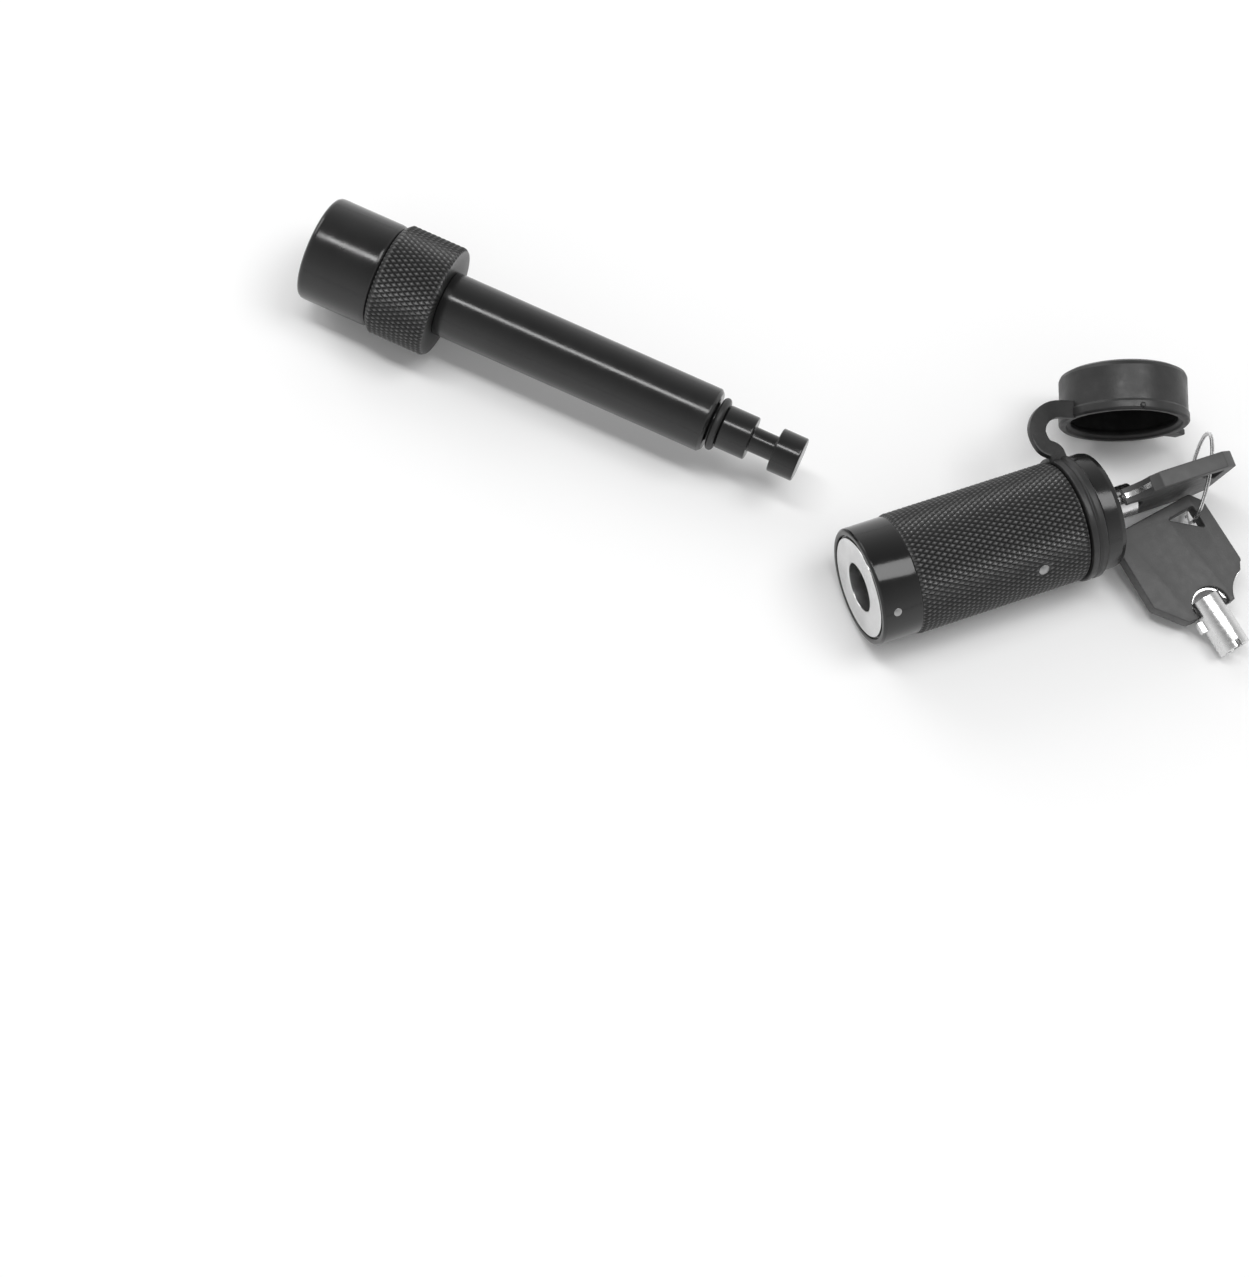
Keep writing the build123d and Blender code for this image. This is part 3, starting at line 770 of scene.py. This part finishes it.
STRAP_POINTS = [
    (113.6, 22.4, 8.15), (112.9, 23.0, 8.6), (111.2, 24.2, 9.45), (108.3, 24.3, 9.8),
    (105.4, 27.2, 9.9), (105.0, 31.4, 9.2), (106.9, 35.6, 7.6), (111.3, 38.9, 5.9),
]
STRAP_WIDTH = 4.2
STRAP_THICK = 1.7
STRAP_STEPS = 12
ROOT_WIDTH = 0.84


def through(points, steps):
    """Smooth path through points."""
    path = []
    ends = [points[0] * 2 - points[1]] + points + [points[-1] * 2 - points[-2]]
    for p0, p1, p2, p3 in zip(ends, ends[1:], ends[2:], ends[3:]):
        for k in range(steps):
            t = k / steps
            point = 0.5 * (2 * p1 + (p2 - p0) * t + (2 * p0 - 5 * p1 + 4 * p2 - p3) * t ** 2
                           + (3 * p1 - p0 - 3 * p2 + p3) * t ** 3)
            path.append(point)
    path.append(points[-1])
    return path


route = through([Vector(point) * MM for point in STRAP_POINTS], STRAP_STEPS)
sections = []
strap_profile = softened(
    [(-0.5, -0.5), (0.5, -0.5), (0.5, 0.5), (-0.5, 0.5)], 0.12, keep_axis=False,
)
tangents = [
    (route[min(k + 1, len(route) - 1)] - route[max(k - 1, 0)]).normalized()
    for k in range(len(route))
]
carried = [(BARREL_DIR - tangents[0] * BARREL_DIR.dot(tangents[0])).normalized()]
for tangent in tangents[1:]:
    wide = carried[-1]
    carried.append((wide - tangent * wide.dot(tangent)).normalized())
cap_side = (CUP_DIR - tangents[-1] * CUP_DIR.dot(tangents[-1])).normalized()
if cap_side.dot(carried[-1]) < 0:
    cap_side = -cap_side
twist = carried[-1].angle(cap_side)
if carried[-1].cross(cap_side).dot(tangents[-1]) < 0:
    twist = -twist
for k, (point, tangent, wide) in enumerate(zip(route, tangents, carried)):
    share = k / (len(route) - 1)
    wide = Matrix.Rotation(twist * share, 3, tangent) @ wide
    thick = tangent.cross(wide)
    neck = min(1.0, ROOT_WIDTH + share)
    sections.append([
        point + wide * u * STRAP_WIDTH * neck * MM + thick * v * STRAP_THICK * MM
        for u, v in strap_profile
    ])
bm = bmesh.new()
sweep(bm, sections)
strap = finish_piece(bm, "tether_strap_rubber", RUBBER, None, ["cap_strap"])
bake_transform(strap)

# ---------------------------------------------------------------- stage
floor_material = Nodes("pale_floor")
floor_material.set(Roughness=0.7)
floor_material.link(
    floor_material.ramp(floor_material.noise(3.0, 2.0), ((0.3, 0.9), (0.7, 0.92))),
    floor_material.shader.inputs["Base Color"],
)
floor_mesh = bpy.data.meshes.new("floor")
FLOOR_HALF = 4.0
FLOOR_GAP = 0.0001
FLOOR_CORNERS = ((-1, -1), (1, -1), (1, 1), (-1, 1))
floor_mesh.from_pydata(
    [(x * FLOOR_HALF, y * FLOOR_HALF, FLOOR_Z - FLOOR_GAP) for x, y in FLOOR_CORNERS],
    [], [(0, 1, 2, 3)],
)
floor_mesh.materials.append(floor_material.material)
floor = bpy.data.objects.new("floor", floor_mesh)
bpy.context.scene.collection.objects.link(floor)


def softbox(name, place, target, size, power):
    """Rectangular area light that faces a point."""
    data = bpy.data.lights.new(name, "AREA")
    data.shape = "RECTANGLE"
    data.size = size[0]
    data.size_y = size[1]
    data.energy = power
    lamp = bpy.data.objects.new(name, data)
    lamp.location = place
    lamp.rotation_euler = (Vector(target) - Vector(place)).to_track_quat("-Z", "Y").to_euler()
    bpy.context.scene.collection.objects.link(lamp)


softbox("overhead_strip", (-0.25, -0.1, 1.5), (-0.25, -0.1, 0.0), (0.95, 0.2), 7.5)
softbox("overhead_soft", (0.62, 0.22, 1.5), (0.11, 0.0, 0.0), (0.75, 0.75), 9.0)
softbox("side_fill", (-1.4, 0.5, 0.9), (0.05, 0.0, 0.0), (0.9, 0.7), 6.0)

world = bpy.data.worlds.new("studio")
world.use_nodes = True
bpy.context.scene.world = world
tree = world.node_tree
background = tree.nodes["Background"]
direction = tree.nodes.new("ShaderNodeTexCoord")
split = tree.nodes.new("ShaderNodeSeparateXYZ")
tree.links.new(direction.outputs["Generated"], split.inputs["Vector"])
sky = tree.nodes.new("ShaderNodeValToRGB")
sky.color_ramp.elements[0].position = 0.15
sky.color_ramp.elements[0].color = (1.0, 1.0, 1.0, 1)
sky.color_ramp.elements[1].position = 0.9
sky.color_ramp.elements[1].color = (0.3, 0.3, 0.3, 1)
tree.links.new(split.outputs["Z"], sky.inputs["Fac"])
tree.links.new(sky.outputs["Color"], background.inputs["Color"])
background.inputs["Strength"].default_value = 0.9

# ---------------------------------------------------------------- camera
camera_data = bpy.data.cameras.new("camera")
camera_data.lens = 79.57
camera_data.sensor_width = 36.0
camera_data.clip_start = 0.01
camera = bpy.data.objects.new("camera", camera_data)
CAMERA_RIGHT = Vector((0.9066, 0.4139, 0.0829))
CAMERA_UP = Vector((-0.4110, 0.8207, 0.3969))
CAMERA_BACK = CAMERA_RIGHT.cross(CAMERA_UP).normalized()
CAMERA_PLACE = Vector((0.1015, -0.3137, 0.5881))
camera_axes = Matrix((CAMERA_RIGHT, CAMERA_BACK.cross(CAMERA_RIGHT), CAMERA_BACK))
camera_matrix = camera_axes.transposed().to_4x4()
camera_matrix.translation = CAMERA_PLACE
camera.matrix_world = camera_matrix
bpy.context.scene.collection.objects.link(camera)
bpy.context.scene.camera = camera
bpy.context.scene.view_settings.view_transform = "Standard"
